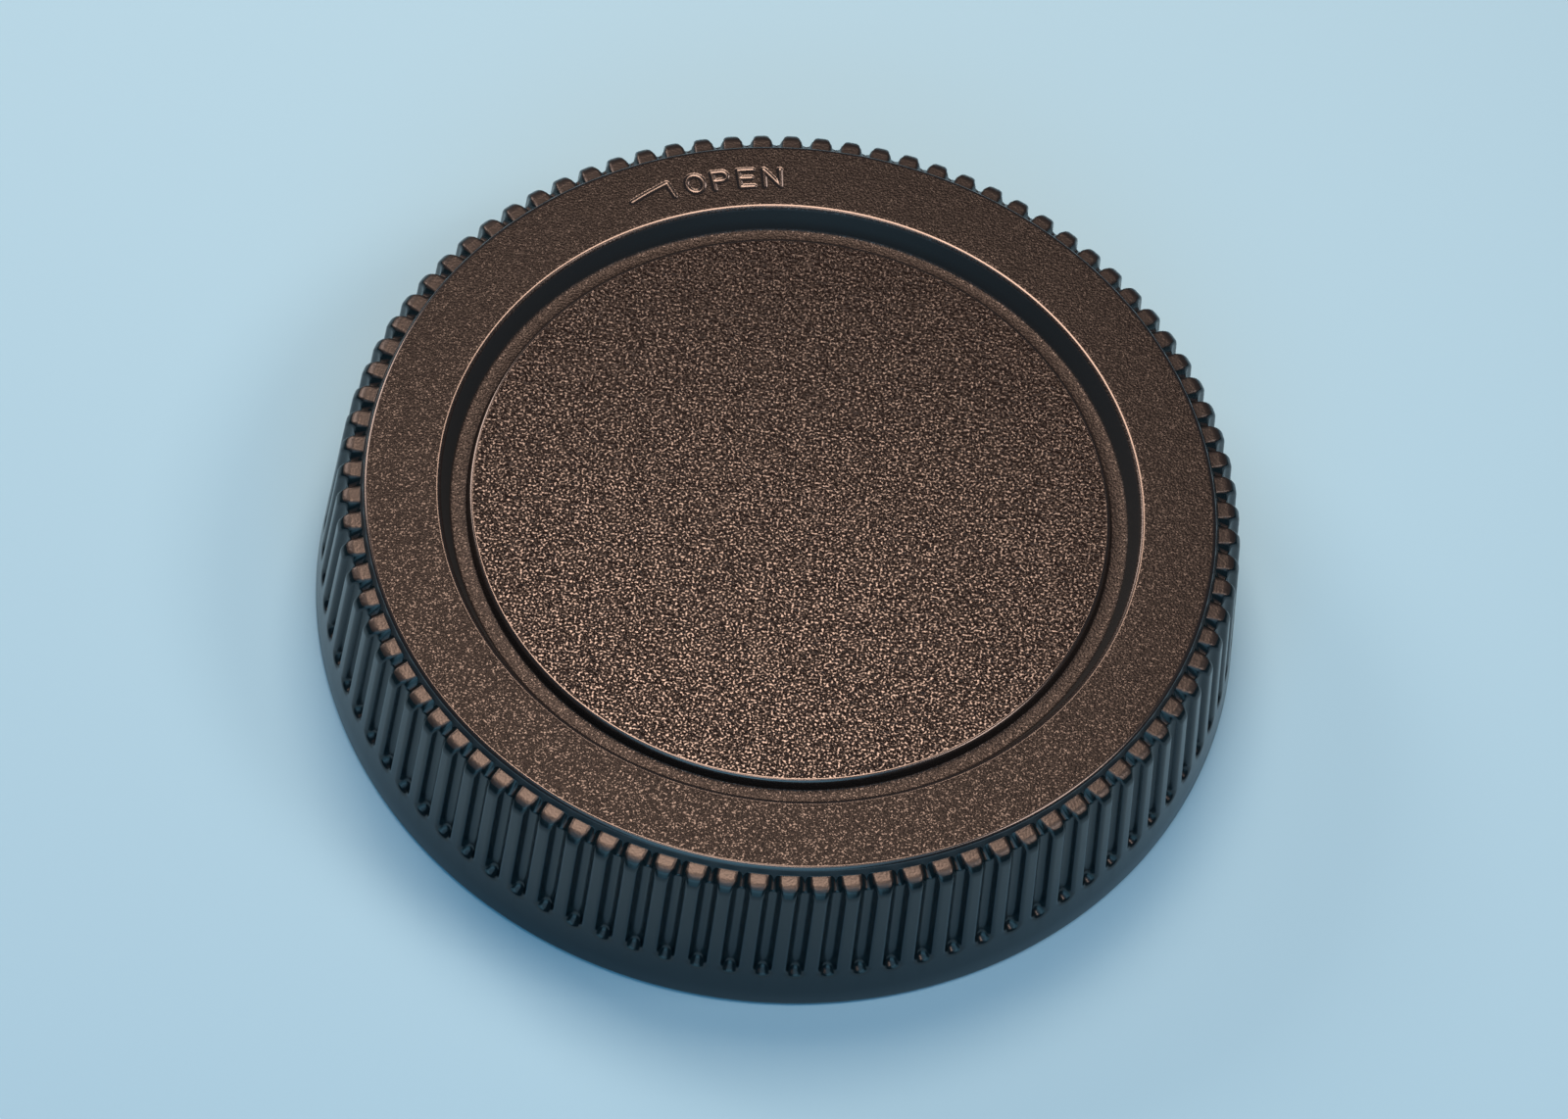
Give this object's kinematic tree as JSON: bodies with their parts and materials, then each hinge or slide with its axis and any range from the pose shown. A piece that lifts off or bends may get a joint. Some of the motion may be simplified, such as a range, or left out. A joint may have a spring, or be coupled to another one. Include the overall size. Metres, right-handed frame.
{
  "type": "rear lens cap",
  "caption": "Round moulded rear cap for an interchangeable camera lens, with a knurled skirt, a recessed face disc and an inner bayonet collar.",
  "frame": {"origin": "centre of the open rim, in the plane that the cap rests on", "axes": "+Z out of the front face along the cap's axis, +X through the middle of a rib"},
  "size_m": [0.057, 0.057, 0.0122],
  "materials": {
    "black_plastic": "moulded black plastic, satin skirt and grained face"
  },
  "bodies": {
    "root": {"lens_cap": "black_plastic"}
  },
  "joints": []
}
